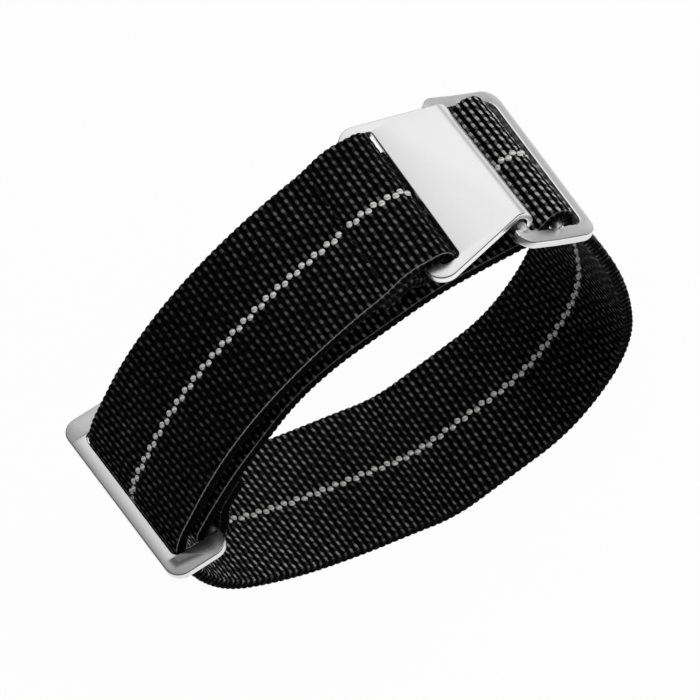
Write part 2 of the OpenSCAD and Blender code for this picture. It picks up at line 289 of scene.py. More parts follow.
class Course:
    """The whole run of the webbing: its stretches and the places on them."""

    thickness = 1.4 * MM
    half = thickness / 2
    hook_sew = 6.6 * MM
    end_sew = 6.2 * MM
    tab_end = 2 * MM
    flat_left = 2.8 * MM
    flat_length = 9.5 * MM
    stripe_past_fold = 4 * MM

    def __init__(self):
        def point(x, z):
            return Vector((x * MM, z * MM))

        def joint(name):
            return Vector((JOINTS[name].x, JOINTS[name].z))

        half, left_x, right_x = self.half, BAND_LOW.x, BAND_HIGH.x
        catch_bar, middle, sewn_bar = joint("clasp_tilt"), joint("catch_rock"), joint("end_rock")
        left_up, along = 180 - PLATE_TILT, 180 - CATCH_TILT
        round_bar = BAR_RADIUS + WRAP_GAP + half

        # The fold round the slot bar of the hook plate, the arm, and the tab sewn under it
        fold_r = PLATE_THICKNESS / 2 + WRAP_GAP + half
        fold_u = PLATE_LENGTH - SLOT_BAR + SLOT_INSET
        plate_up = (JAW_RADIUS + PLATE_THICKNESS / 2) * unit(90 - PLATE_TILT)
        fold_c = catch_bar + fold_u * unit(left_up) + plate_up
        wrap = [arc_round(fold_c, fold_r, left_up - 180, left_up)]
        over_bar = [Arc(end_of(wrap)[0], left_up, SLOT_BAR, 0)]
        crossing = (sewn_bar + (OUTER_BAR - half - OUTER_GAP) * unit(180 - END_TILT), 245)
        arm = over_bar + through([
            end_of(over_bar),
            (catch_bar + point(-18.3, 5.4), 184),
            (sewn_bar + point(1, 6.4), 222),
            crossing,
        ])
        step = self.thickness + TAB_GAP
        layer = sliced(arm, self.hook_sew - TAB_RUN, self.hook_sew + self.tab_end)
        tab = turned_back(layer, step)
        under = fold_c - fold_r * unit(90 - PLATE_TILT) + (SLOT_BAR - SLOT_INSET) * unit(left_up)
        lead = tab + through([end_of(tab), (under, left_up - 180)])
        lead += [Arc(under, left_up - 180, SLOT_BAR - SLOT_INSET, 0)] + wrap
        self.arm = lead + arm
        self.hook_row = size_of(lead) + self.hook_sew
        self.tab_row = self.tab_end
        self.wrap_to = size_of(lead) + self.stripe_past_fold
        self.arm_tab = size_of(tab)

        # Under the right bar of the catch frame, over its middle bar and beneath the hook
        right_bar = middle + RIGHT_PITCH * unit(-CATCH_TILT)
        under_r = math.hypot(*RIGHT_BAR) / 2 + PASS_GAP + half
        hook_r = JAW_RADIUS + PLATE_THICKNESS + PASS_GAP + half
        up = along - math.degrees(math.asin((round_bar + under_r) / RIGHT_PITCH))
        down = along + math.degrees(math.asin((round_bar + hook_r) / CATCH_PITCH))
        under_right = arc_round(right_bar, -under_r, 112, up)
        over_middle = arc_round(middle, round_bar, up, down)
        past_hook = arc_round(catch_bar, -hook_r, down, 162)
        self.catch = [
            under_right,
            arc_to(under_right.at(under_right.size), up, over_middle.start),
            over_middle,
            arc_to(over_middle.at(over_middle.size), down, past_hook.start),
            past_hook,
        ]

        # The lower band, from the crossing at the left round to the right bar
        left_end = Vector((left_x + half, sewn_bar.y - 4.2 * MM))
        self.lower = through([
            crossing,
            (left_end, 270),
            (Vector((left_end.x + 3.8 * MM, 17 * MM)), 312),
            (Vector((self.flat_left - 12 * MM, half + 4.7 * MM)), 333),
            (Vector((self.flat_left, half)), 360),
            (Vector((self.flat_left + self.flat_length, half)), 360),
            (Vector((right_x - 7.3 * MM, half + 5.05 * MM)), 400),
            (Vector((right_x - half, 24.6 * MM)), 450),
            (under_right.start, 472),
        ])

        # The inner layer, its fold round the sewn bar, and the tab sewn under it
        end_wrap = [arc_round(sewn_bar, round_bar, 222, 422)]
        inner = through([
            end_of(self.catch),
            (catch_bar + point(-15.8, 0.3), 178),
            (catch_bar + point(-29.3, 0.1), 191),
            (sewn_bar + point(9, 8.2), 208),
            (end_wrap[0].start, 222),
        ])
        sewn = size_of(inner) - self.end_sew
        end_tab = turned_back(sliced(inner, sewn - self.tab_end, sewn + TAB_RUN), step)
        to_tab = through([end_of(end_wrap), (end_tab[0].start, end_tab[0].heading)])
        self.inner = self.catch + inner + (end_wrap + to_tab + end_tab)
        self.end_row = size_of(self.catch) + sewn
        self.inner_end = size_of(self.catch) + size_of(inner)
        self.tail_row = size_of(self.inner) - self.tab_end
        self.tail_tab = size_of(self.inner) - size_of(end_tab)


COURSE = Course()


class Rows:
    """The cross rows of a stretch, counted along its outer face, so that they open at each bend."""

    def __init__(self, arcs):
        look = settings("webbing")
        spread = look.bend_density * COURSE.half
        lengths = [arc.size + spread * abs(math.radians(arc.turn)) for arc in arcs]
        self.count = max(1, round(sum(lengths) / look.row_pitch))
        self.places = np.cumsum([0.0] + [arc.size for arc in arcs])
        self.numbers = np.cumsum([0.0] + lengths) * self.count / sum(lengths)

    def places_of(self, numbers):
        return np.interp(numbers, self.numbers, self.places)


def stations(arcs, distances):
    """Points and left-hand normals at distances along arcs, as arrays in the XZ plane."""
    starts = np.cumsum([0.0] + [arc.size for arc in arcs])
    points, normals = [], []
    for s in distances:
        index = min(max(int(np.searchsorted(starts, s, side="right")) - 1, 0), len(arcs) - 1)
        local = float(s - starts[index])
        points.append(arcs[index].at(local))
        normals.append(unit(arcs[index].heading_at(local) + 90))
    return np.array(points), np.array(normals)


# Mesh tools


# Where the twist of the hook plate and of the end frame rises and fades, in millimetres along X

HOOK_TWIST_FROM = (-8, 8, 15, 29)
END_TWIST_FROM = (-22, -10)
MERGE = 1e-6
ACROSS = Vector((0, 1, 0))


def clear_selection():
    if bpy.context.object and bpy.context.object.mode != "OBJECT":
        bpy.ops.object.mode_set(mode="OBJECT")
    bpy.ops.object.select_all(action="DESELECT")


def make_active(piece):
    clear_selection()
    bpy.context.view_layer.objects.active = piece
    piece.select_set(True)


def named(name):
    piece = bpy.context.object
    piece.name = name
    piece.data.name = name
    return piece


def move_vertices(piece, points):
    piece.data.vertices.foreach_set("co", np.ascontiguousarray(points, np.float32).ravel())
    piece.data.update()


def vertices_of(piece):
    points = np.zeros(len(piece.data.vertices) * 3, np.float32)
    piece.data.vertices.foreach_get("co", points)
    return points.reshape(-1, 3)


def set_down(piece):
    """Sit a piece slightly askew at both ends, as soft webbing lets its hardware lie."""
    look = settings("pose")
    points = vertices_of(piece)
    x = points[:, 0]
    hook = np.interp(x, np.array(HOOK_TWIST_FROM) * MM, [0, 1, 1, 0])
    end = np.interp(x, np.array(END_TWIST_FROM) * MM, [1, 0])
    points[:, 0] += points[:, 1] * (look.hook_twist * hook + look.end_twist * end)
    move_vertices(piece, points)


def set_down_catch(piece):
    """Slip the catch frame a little aside and askew, with its right bar drawn out."""
    look, points = settings("pose"), vertices_of(piece)
    start = JOINTS["catch_rock"].x
    beyond = start + 2 * MM
    drawn = np.interp(points[:, 0], [start, beyond], [0, look.catch_reach])
    points[:, 0] += look.catch_twist * points[:, 1] + drawn
    points[:, 1] -= look.catch_aside
    move_vertices(piece, points)


def press_nose(piece):
    """Draw the nose of the hook in against its bar."""
    points = vertices_of(piece)
    bar = JOINTS["clasp_tilt"]
    drawn = 1 - settings("pose").nose_press
    points[:, 0] -= drawn * np.maximum(points[:, 0] - bar.x, 0)
    points[:, 2] += drawn * np.maximum(bar.z - points[:, 2], 0)
    move_vertices(piece, points)


def laid_on(master, point, y, normal, lift, slant=0.0):
    """A copy of a small piece, turned to a face of the webbing and laid on it at a point."""
    middle = Vector((point[0], y, point[1])) + lift * normal
    turn = Matrix((ACROSS.cross(normal), ACROSS, normal)).transposed()
    turn = turn @ Matrix.Rotation(math.radians(slant), 3, "Z")
    copy = master.copy()
    copy.data = master.data.copy()
    copy.data.transform(Matrix.Translation(middle) @ turn.to_4x4())
    bpy.context.scene.collection.objects.link(copy)
    return copy


def joined(pieces, name):
    clear_selection()
    for piece in pieces:
        piece.select_set(True)
    bpy.context.view_layer.objects.active = pieces[0]
    bpy.ops.object.join()
    return named(name)


def dress(piece, *materials):
    piece.data.materials.clear()
    for material in materials:
        piece.data.materials.append(material)


# Materials


class Value:
    """A socket that carries a number, a vector or a colour, with the arithmetic of its pattern."""

    def __init__(self, nodes, socket):
        self.nodes, self.socket = nodes, socket

    def math(self, operation, *others, first=None):
        inputs = [self if first is None else first, *others]
        return self.nodes.node("ShaderNodeMath", {"operation": operation}, dict(enumerate(inputs)))

    def __add__(self, other):
        return self.math("ADD", other)

    __radd__ = __add__

    def __sub__(self, other):
        return self.math("SUBTRACT", other)

    def __rsub__(self, other):
        return self.math("SUBTRACT", self, first=other)

    def __mul__(self, other):
        return self.math("MULTIPLY", other)

    __rmul__ = __mul__

    def __truediv__(self, other):
        return self.math("DIVIDE", other)

    def __pow__(self, other):
        return self.math("POWER", other)

    def floor(self):
        return self.math("FLOOR")

    def fract(self):
        return self.math("FRACT")

    def sine(self):
        return self.math("SINE")

    def clamped(self):
        return self.nodes.node("ShaderNodeClamp", {}, {0: self})


class Nodes:
    """The node tree of a material or of the world."""

    def __init__(self, owner):
        owner.use_nodes = True
        self.tree = owner.node_tree

    def feed(self, target, value):
        """Link a value to a socket, or set the socket to a number, a vector or a colour."""
        if isinstance(value, Value):
            self.tree.links.new(value.socket, target)
        elif target.type == "RGBA":
            target.default_value = (*value, 1.0)
        else:
            target.default_value = value

    def node(self, kind, options, inputs, output=0):
        """Add a node with its settings and the values or links of its sockets."""
        made = self.tree.nodes.new(kind)
        for key, value in options.items():
            setattr(made, key, value)
        for key, value in inputs.items():
            self.feed(made.inputs[key], value)
        return Value(self, made.outputs[output])

    def rays(self):
        """Whether a ray comes from the camera, from a reflection or through glass."""
        path = self.tree.nodes.new("ShaderNodeLightPath")
        names = ("Is Camera Ray", "Is Glossy Ray", "Is Transmission Ray")
        return [Value(self, path.outputs[name]) for name in names]

    def between(self, factor, low, high):
        return self.node("ShaderNodeMix", {"data_type": "FLOAT"}, {0: factor, 2: low, 3: high})


class Paint(Nodes):
    """A material on one Principled shader, and the nodes that feed it."""

    def __init__(self, name, values):
        self.material = bpy.data.materials.new(name)
        super().__init__(self.material)
        self.shader = self.tree.nodes["Principled BSDF"]
        for key, value in values.items():
            self.set(key, value)

    def set(self, socket, value):
        self.feed(self.shader.inputs[socket], value)

    def mix(self, factor, low, high):
        inputs = {0: factor, 6: low, 7: high}
        return self.node("ShaderNodeMix", {"data_type": "RGBA"}, inputs, output=2)

    def split(self, vector):
        """The three numbers of a vector."""
        made = self.node("ShaderNodeSeparateXYZ", {}, {0: vector}).socket.node
        return [Value(self, output) for output in made.outputs]

    def object_point(self):
        return self.node("ShaderNodeTexCoord", {}, {}, output="Object")

    def weave_point(self):
        """The row of the weave and the place across it, counted in dots."""
        return self.split(self.node("ShaderNodeUVMap", {"uv_map": "Weave"}, {}))[:2]

    def attribute(self, name):
        return self.node("ShaderNodeAttribute", {"attribute_name": name}, {}, output="Fac")

    def chance(self, dimensions, inputs):
        """A random number for each whole number or vector that is fed in."""
        return self.node("ShaderNodeTexWhiteNoise", {"noise_dimensions": dimensions}, inputs)

    def noise(self, vector, scale, detail=2.0):
        inputs = {"Vector": vector, "Scale": scale, "Detail": detail}
        return self.node("ShaderNodeTexNoise", {}, inputs)

    def bump(self, height, distance, strength):
        inputs = {"Strength": strength, "Distance": distance, "Height": height}
        return self.node("ShaderNodeBump", {}, inputs)

    def twist(self, point, along, across):
        """The slanting turns of a yarn, in radians for each metre along and across the webbing."""
        x, y, z = self.split(point)
        return ((x + z) * along + y * across).sine()


# The grain of painted sheen on a float: its slant, half length and half width, and its random
# shifts

GRAIN_SLANT = 0.16
GRAIN_HALF_LENGTH = 0.46
GRAIN_HALF_WIDTH = 0.56
GRAIN_SHIFT = 0.7
ROW_SHIFT = 0.45

# Scales of the noise on cloth and steel, from wide to fine

WEAR_SCALE = 110.0
CLOUD_SCALE = 160.0
FINE_SCALE = 5200.0
YARN_SCALE = 7000.0


def nylon_material():
    """Black nylon: a grey grain of painted sheen on each float, made uneven by abrasion and painted
    light, black yarn between, and a painted highlight at the corners.
    """
    look = settings("webbing")
    paint = Paint("black_webbing", {"Specular IOR Level": 0.03})
    row, column = paint.weave_point()
    index = row.floor()
    shift = paint.chance("1D", {"W": index})
    place = column + (0.5 * index).fract() + ROW_SHIFT * (shift - 0.5)
    cell = paint.node("ShaderNodeCombineXYZ", {}, {0: index, 1: place.floor()})
    chance = paint.chance("3D", {0: cell})
    along = 2.0 * row.fract() - 1.0
    across = 2.0 * place.fract() - 1.0 + GRAIN_SHIFT * (chance - 0.5)
    slanted = along + GRAIN_SLANT * across
    # The grain is a painted sheen: a light dash on each float where it would catch the light.
    line = (1.0 - (slanted / GRAIN_HALF_LENGTH) ** 2.0).clamped()
    grain = line * (0.17 + 1.4 * (1.0 - (across / GRAIN_HALF_WIDTH) ** 2.0).clamped())
    point = paint.object_point()
    wear_and_light = paint.noise(point, WEAR_SCALE, 3.0)
    fuzz = paint.noise(point, FINE_SCALE)
    filament = (2.0 * math.pi * (2.5 * row + 1.2 * place)).sine()
    grain = (grain * (0.45 + 1.1 * fuzz)).clamped()
    uneven = (0.4 + 0.6 * (7.0 * chance).fract()) * (0.8 * wear_and_light + 0.38).clamped()
    # How strong the painted sheen is: random, and scaled along each stretch for abrasion and for
    # painted light and shade.
    shade = grain * uneven * paint.attribute("wear_and_light")
    body = paint.mix(shade, look.gap, look.yarn)
    flank = paint.mix(fuzz, (0.0006, 0.0006, 0.0006), (0.0016, 0.0016, 0.0016))
    side = paint.attribute("side")
    # A painted highlight along the corners of the edges, made uneven by the fine noise.
    highlighted = (paint.attribute("corner") * (0.3 + 1.1 * fuzz)).clamped()
    paint.set("Base Color", paint.mix(highlighted, paint.mix(side, body, flank), look.edge_highlight))
    paint.set("Roughness", look.roughness + 0.3 * side)
    relief = (0.6 * grain + 0.1 * filament + 0.1 * fuzz) * (1.0 - side)
    paint.set("Normal", paint.bump(relief, 0.08 * MM, 0.5))
    return paint.material


def light_yarn_material():
    """Undyed yarn with a slanting twist."""
    paint = Paint("light_yarn", {"Roughness": 0.62, "Specular IOR Level": 0.3})
    point = paint.object_point()
    twist = paint.twist(point, 5200.0, 11700.0)
    grain = paint.noise(point, YARN_SCALE, 3.0)
    tone = (0.55 + 0.35 * twist + 0.6 * (grain - 0.5)).clamped()
    light = settings("stripe").light
    dark = [0.45 * channel for channel in light]
    bright = [min(1.0, 1.15 * channel) for channel in light]
    paint.set("Base Color", paint.mix(tone, dark, bright))
    paint.set("Normal", paint.bump(twist * 0.5 + grain, 0.04 * MM, 0.5))
    return paint.material


def thread_material():
    """Black thread with a fine twist."""
    paint = Paint("black_thread", {"Roughness": 0.55, "Specular IOR Level": 0.12})
    twist = paint.twist(paint.object_point(), 12000.0, 16000.0)
    tone = (0.5 + 0.5 * twist).clamped()
    paint.set("Base Color", paint.mix(tone, (0.002, 0.002, 0.002), settings("sewing").colour))
    paint.set("Normal", paint.bump(twist, 0.03 * MM, 0.6))
    return paint.material


def steel_material(name, steel, roughness, grain_depth):
    """Steel with the fine frosted grain of bead blasting and faint clouds from handling."""
    paint = Paint(name, {"Metallic": 1.0})
    point = paint.object_point()
    frost = paint.noise(point, FINE_SCALE)
    cloud = paint.noise(point, CLOUD_SCALE, 3.0)
    tone = (0.5 + 0.5 * (cloud - 0.5) + 0.5 * (frost - 0.5)).clamped()
    dark, bright = ([factor * channel for channel in steel] for factor in (0.92, 1.06))
    paint.set("Base Color", paint.mix(tone, dark, bright))
    paint.set("Roughness", roughness + 0.07 * (cloud - 0.5))
    paint.set("Normal", paint.bump(frost, grain_depth, 0.35))
    return paint.material


# The webbing


FACE_HALF = 9.7 * MM
DOTS = 16
DOT = 2 * FACE_HALF / DOTS
DOT_SAMPLES = 5
ROW_SAMPLES = 4

# Parts of the relief that are left under the stripe and along the edges, and that vary across

STRIPE_RELIEF = 0.25
EDGE_RELIEF = 0.35
FLOAT_RELIEF = 0.35

# Half the width of the track under the stripe, the least height of a face, and the part of the
# painted corner highlight kept on the inner face

STRIPE_HALF = 0.7 * MM
FACE_LEVEL = 0.995
LINING_HIGHLIGHT = 0.15

# The thread pulls the webbing in along a row of stitches

SEWN_DEPTH = 0.16 * MM
SEWN_REACH = 0.55 * MM

# The rounded edge, from the face out: millimetres across, part of the height, corner, flank

# The corner column marks where the painted corner highlight lies.
EDGE = (
    (9.85, 0.99, 0.0, 0.0),
    (9.94, 0.93, 1.0, 0.3),
    (9.99, 0.84, 0.0, 1.0),
    (10.0, 0.55, 0.0, 1.0),
)


def row_profile(rows):
    return 1 - np.abs(2 * (rows % 1) - 1) ** 2.2


def weave_relief(rows, columns):
    """Relief of the floats, from 0 in the gaps to 1, in a brick pattern of rows and columns."""
    shifted = columns + 0.5 * (np.floor(rows + 1e-6) % 2)
    across = 1 - np.abs(2 * (shifted % 1) - 1) ** 2.5
    return row_profile(rows) * (1 - FLOAT_RELIEF + FLOAT_RELIEF * across)


def cross_section():
    """Half of the ring round the webbing: offsets from the middle, places across, and marks."""
    count = DOTS * DOT_SAMPLES + 1
    face = [(y, 1.0, 0.0, 0.0) for y in np.linspace(-FACE_HALF, FACE_HALF, count)]
    edge = [(y * MM, up, corner, flank) for y, up, corner, flank in EDGE]
    lower_edge = [(y, -up, corner, flank) for y, up, corner, flank in reversed(edge)]
    return face + edge + [(10.0 * MM, 0.0, 0.0, 1.0)] + lower_edge


def ribbon_grid(name, steps, count):
    """A flat grid to wrap round the webbing, with each point's step along and place round it."""
    clear_selection()
    bpy.ops.mesh.primitive_grid_add(x_subdivisions=steps, y_subdivisions=count, size=1.0)
    piece = named(name)
    raw = vertices_of(piece)
    step = np.rint((raw[:, 0] + 0.5) * steps).astype(int)
    place = np.rint((raw[:, 1] + 0.5) * count).astype(int)
    return piece, step, place


def add_marks(piece, marks):
    """Store numbers at the points of a piece for its material to read."""
    for mark, values in marks.items():
        layer = piece.data.attributes.new(mark, "FLOAT", "POINT")
        layer.data.foreach_set("value", values.astype(np.float32))


def map_weave(piece, row, around):
    """Store each point's row and its place round the webbing as the UV map of the weave."""
    uv = piece.data.uv_layers[0]
    uv.name = "Weave"
    loops = np.zeros(len(piece.data.loops), int)
    piece.data.loops.foreach_get("vertex_index", loops)
    coords = np.column_stack([row[loops], around[loops]])
    uv.data.foreach_set("uv", coords.astype(np.float32).ravel())


def close_ribbon(piece):
    """Join the long sides of the wrapped grid and cover its two ends."""
    bpy.ops.object.mode_set(mode="EDIT")
    bpy.ops.mesh.select_all(action="SELECT")
    bpy.ops.mesh.remove_doubles(threshold=MERGE)
    bpy.ops.mesh.select_all(action="DESELECT")
    bpy.ops.mesh.select_mode(type="EDGE")
    bpy.ops.mesh.select_non_manifold(extend=False)
    bpy.ops.mesh.edge_face_add()
    bpy.ops.mesh.select_all(action="SELECT")
    bpy.ops.mesh.normals_make_consistent(inside=False)
    bpy.ops.object.mode_set(mode="OBJECT")
    bpy.ops.object.shade_smooth_by_angle(angle=math.radians(60))


def ribbon(name, arcs, corner_highlight, wear_and_light, softness, sewn=()):
    """A stretch of webbing with its woven relief on both faces, and its row numbers in a UV map.

    The painted highlight at its corners, the abrasion and painted light and shade on its floats,
    and the softness of its flanks vary along it.
    """
    look = settings("webbing")
    rows = Rows(arcs)
    steps = rows.count * ROW_SAMPLES
    half_ring = np.array(cross_section())
    ring = np.vstack([half_ring, half_ring * [-1, -1, 1, 1]])
    y_ring, up_ring, corner_ring, side_ring = ring.T
    count = len(ring)
    piece, i, j = ribbon_grid(name, steps, count)
    wrapped_j = j % count

    row_number = np.linspace(0, rows.count, steps + 1)
    along = rows.places_of(row_number)
    points, normals = stations(arcs, along)
    s, row = along[i], row_number[i]
    y, up = y_ring[wrapped_j].copy(), up_ring[wrapped_j]
    face = np.abs(up) > FACE_LEVEL
    notch = 1 - row_profile(row)
    relief = weave_relief(row, y / DOT + DOTS / 2)
    relief[face & (np.abs(y) < STRIPE_HALF)] *= STRIPE_RELIEF
    sink = (1 - relief) * look.relief - look.proud
    height = COURSE.half * np.abs(up) - np.where(face, sink, EDGE_RELIEF * look.relief * notch)
    for where in sewn:
        dip = SEWN_DEPTH * np.exp(-((s - where) / SEWN_REACH) ** 2)
        height -= np.where(face & (up < 0), dip, 0.0)
    off = np.where(up == 0, 0.0, np.sign(up) * height)
    y -= np.where(face, 0.0, np.sign(y) * look.serration * notch)
    x, z = points[i, 0] + normals[i, 0] * off, points[i, 1] + normals[i, 1] * off
    move_vertices(piece, np.column_stack([x, y, z]))

    # The painted corner highlight is kept weak on the inner face.
    lining = np.where(up < 0, 1.0, LINING_HIGHLIGHT)
    # The marks hold the painted corner highlight, the flanks, and the abrasion and painted light
    # and shade that scale the floats' painted sheen.
    add_marks(piece, {
        "corner": np.interp(s, *corner_highlight) * corner_ring[wrapped_j] * lining,
        "side": side_ring[wrapped_j] * (1 - np.interp(s, *softness) * np.abs(up)),
        "wear_and_light": np.interp(s, *wear_and_light),
    })
    around = np.where(up_ring > 0, y_ring, 4 * FACE_HALF - y_ring) / DOT
    around = np.append(around, 3.5 * DOTS) + DOTS / 2
    map_weave(piece, row, around[j])
    close_ribbon(piece)
    return piece


def along_stretch(*pairs, start=0.0):
    """Places along a stretch, given in millimetres from a start, and the value at each."""
    places, values = zip(*pairs)
    return start + np.array(places) * MM, values


class STRAP_OT_webbing(bpy.types.Operator):
    """Model the woven webbing in its three stretches"""

    bl_idname = "strap.webbing"
    bl_label = "Webbing"

    def execute(self, context):
        nylon = nylon_material()
        # Along each stretch the floats' painted sheen is scaled for abrasion and for painted light
        # and shade, brightest in the window of the catch frame.
        arm = ribbon(
            "arm_webbing",
            COURSE.arm,
            corner_highlight=along_stretch((20, 0.7), (40, 1.0)),
            wear_and_light=along_stretch((8, 0.42), (22, 0.37), (36, 0.17), (50, 0.19), (60, 0.3)),
            softness=along_stretch((20, 0.7), (34, 0.0)),
            sewn=(COURSE.hook_row, COURSE.tab_row),
        )
        rubbed_and_lit = ((20, 1.4), (36, 0.62), (54, 0.5), (66, 0.28), (78, 0.32), (90, 0.65))
        lower = ribbon(
            "lower_webbing",
            COURSE.lower,
            corner_highlight=along_stretch((0, 0.15)),
            wear_and_light=along_stretch(*rubbed_and_lit),
            softness=along_stretch((60, 0.35), (85, 0.6)),
        )
        window = size_of(COURSE.catch)
        inner = ribbon(
            "inner_webbing",
            COURSE.inner,
            corner_highlight=along_stretch((35, 0.3), (42, 1.0), start=window),
            wear_and_light=along_stretch((-1, 2.4), (2, 0.4), start=window),
            softness=along_stretch((-1, 0.15), (1, 0.0), start=window),
            sewn=(COURSE.end_row, COURSE.tail_row),
        )
        for piece in (arm, lower, inner):
            set_down(piece)
            dress(piece, nylon)
        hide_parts("hook_fold", "outer_arm")
        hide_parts("lower_band")
        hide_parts("catch_run", "inner_layer", "end_fold")
        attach(lower, "band")
        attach(inner, "band")
        bend_arm(arm)
        return {"FINISHED"}


def bend_arm(piece):
    """Apply the arm's placement to its mesh."""
    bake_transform(piece)


# The stripe


BEAD_PROUD = 0.12 * MM
BEAD_SLANT = 24
STITCH_ROOM = 0.6 * MM


def bead():
    """One bead of light yarn: a low, wide drop with its axis across the webbing."""
    look = settings("stripe")
    clear_selection()
    bpy.ops.mesh.primitive_uv_sphere_add(segments=8, ring_count=6, radius=0.5)
    piece = named("bead")
    piece.scale = (look.bead_length, look.bead_width, look.bead_height)
    bpy.ops.object.transform_apply(location=False, rotation=True, scale=True)
    bpy.ops.object.shade_smooth()
    return piece


def bead_row(master, arcs, faces):
    """Copies of the bead, one for each row, on the given faces of a stretch.

    Each face is its side of the course, 1 or -1, with the distances where it begins and ends.
    """
    look = settings("stripe")
    rows = Rows(arcs)
    middles = rows.places_of(np.arange(rows.count) + 0.5)
    points, normals = stations(arcs, middles)
    lift = COURSE.half + BEAD_PROUD - look.bead_height / 2
    copies = []
    for face, begin, end in faces:
        for index in range(rows.count):
            if not begin <= middles[index] <= end:
                continue
            side = 1 if index % 2 else -1
            normal = face * Vector((normals[index][0], 0, normals[index][1]))
            y = side * look.zigzag
            copies.append(laid_on(master, points[index], y, normal, lift, side * BEAD_SLANT))
    return copies


class STRAP_OT_stripe(bpy.types.Operator):
    """Lay the zig-zag stripe of light beads on both faces of the webbing"""

    bl_idname = "strap.stripe"
    bl_label = "Stripe"

    def execute(self, context):
        yarn = light_yarn_material()
        master = bead()
        arm_end, inner_end = size_of(COURSE.arm), size_of(COURSE.inner)
        arm = joined(
            bead_row(master, COURSE.arm, [
                (-1, 0, COURSE.hook_row - STITCH_ROOM),
                (-1, COURSE.hook_row + STITCH_ROOM, arm_end),
                (1, COURSE.arm_tab, COURSE.wrap_to),
                (1, COURSE.hook_row + COURSE.tab_end, arm_end),
            ]),
            "arm_stripe_beads",
        )
        band = joined(
            bead_row(master, COURSE.lower, [
                (-1, 0, size_of(COURSE.lower)),
                (1, 0, size_of(COURSE.lower)),
            ])
            + bead_row(master, COURSE.inner, [
                (-1, 0, COURSE.end_row - STITCH_ROOM),
                (-1, COURSE.end_row + STITCH_ROOM, inner_end),
                (1, 0, COURSE.end_row - COURSE.tab_end),
                (1, COURSE.inner_end, COURSE.tail_tab),
            ]),
            "band_stripe_beads",
        )
        bpy.data.objects.remove(master)
        for piece in (arm, band):
            set_down(piece)
            dress(piece, yarn)
        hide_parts("hook_stripe", "arm_stripe")
        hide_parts("band_stripe")
        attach(band, "band")
        bend_arm(arm)
        return {"FINISHED"}


# The sewing


SEWING_MARGIN = 2.4 * MM
STITCH_SINK = 0.02 * MM


def stitch():
    """One visible stitch: a thread that rises out of the webbing, lies along it and dives in."""
    look = settings("sewing")
    clear_selection()
    bpy.ops.mesh.primitive_cylinder_add(
        vertices=10, radius=look.thread / 2, depth=look.stitch, rotation=(math.pi / 2, 0, 0)
    )
    piece = named("stitch")
    bpy.ops.object.transform_apply(location=False, rotation=True, scale=False)
    bpy.ops.object.mode_set(mode="EDIT")
    bpy.ops.mesh.select_all(action="SELECT")
    bpy.ops.mesh.bisect(plane_co=(0, 0, 0), plane_no=(0, 1, 0))
    for place in (-0.42, -0.25, 0.25, 0.42):
        bpy.ops.mesh.select_all(action="SELECT")
        bpy.ops.mesh.bisect(plane_co=(0, place * look.stitch, 0), plane_no=(0, 1, 0))
    bpy.ops.object.mode_set(mode="OBJECT")
    points = vertices_of(piece)
    bend = np.abs(points[:, 1]) / (look.stitch / 2)
    points[:, 2] -= look.thread * bend ** 4
    move_vertices(piece, points)
    bpy.ops.object.shade_smooth_by_angle(angle=math.radians(50))
    return piece


def stitch_row(name, arcs, places, master):
    """Stitches across the webbing, on its outer face, at each of the given places."""
    look = settings("sewing")
    count = int((BAND_HIGH.y - BAND_LOW.y - SEWING_MARGIN) / look.pitch)
    lift = COURSE.half - STITCH_SINK
    copies = []
    for place in places:
        points, normals = stations(arcs, [place])
        normal = -Vector((normals[0][0], 0, normals[0][1]))
        for index in range(count):
            y = (index - (count - 1) / 2) * look.pitch
            copies.append(laid_on(master, points[0], y, normal, lift))
    return joined(copies, name)


class STRAP_OT_sewing(bpy.types.Operator):
    """Lay the rows of stitches that close the two folds"""

    bl_idname = "strap.sewing"
    bl_label = "Sewing"

    def execute(self, context):
        thread = thread_material()
        master = stitch()
        hook_rows = (COURSE.hook_row, COURSE.tab_row)
        end_rows = (COURSE.end_row, COURSE.tail_row)
        hook = stitch_row("hook_stitches", COURSE.arm, hook_rows, master)
        end = stitch_row("end_stitches", COURSE.inner, end_rows, master)
        bpy.data.objects.remove(master)
        for piece, body, node in (
            (hook, "clasp", "hook_stitching"),
            (end, "band", "end_stitching"),
        ):
            set_down(piece)
            dress(piece, thread)
            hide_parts(node)
            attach(piece, body)
        return {"FINISHED"}


# The hardware


# How far the roots of the bars reach, where the rails lie, and when an edge counts as sharp

BAR_REACH = 1.5 * MM
ROOT_RADIUS = 1.0 * MM
ROOT_SLACK = 0.05 * MM
RAIL_MIDDLE = 11.2 * MM
RAIL_INNER = 10.3 * MM
RAIL_CUT = 0.999 * RAIL_INNER
RAIL_HALF = 0.49 * MM
SHARP_ANGLE = math.radians(35)


def cut_beside(bars, direction):
    """Extra edge loops beside the root of each bar, where the rounding of the rails stops."""
    cuts = [(bar + side * direction, direction) for bar in bars for side in (-BAR_REACH, BAR_REACH)]
    cuts += [((0, side, 0), (0, 1, 0)) for side in (-RAIL_CUT, RAIL_CUT)]
    for place, normal in cuts:
        bpy.ops.mesh.select_all(action="SELECT")
        bpy.ops.mesh.bisect(plane_co=place, plane_no=normal)


def sink_roots(piece, bars, slope):
    """Level the ends of the round bars with the faces of the rails that hold them."""
    normal = np.array(Vector((math.sin(math.radians(slope)), 0, math.cos(math.radians(slope)))))
    points = vertices_of(piece)
    for bar in bars:
        away = points - np.array(bar)
        over = away @ normal
        root = np.hypot(away[:, 0], away[:, 2]) < ROOT_RADIUS
        root &= np.abs(points[:, 1]) > RAIL_INNER
        drop = np.where(root, np.clip(over, -RAIL_HALF, RAIL_HALF) - over, 0.0)
        points += np.outer(drop, normal)
    move_vertices(piece, points)


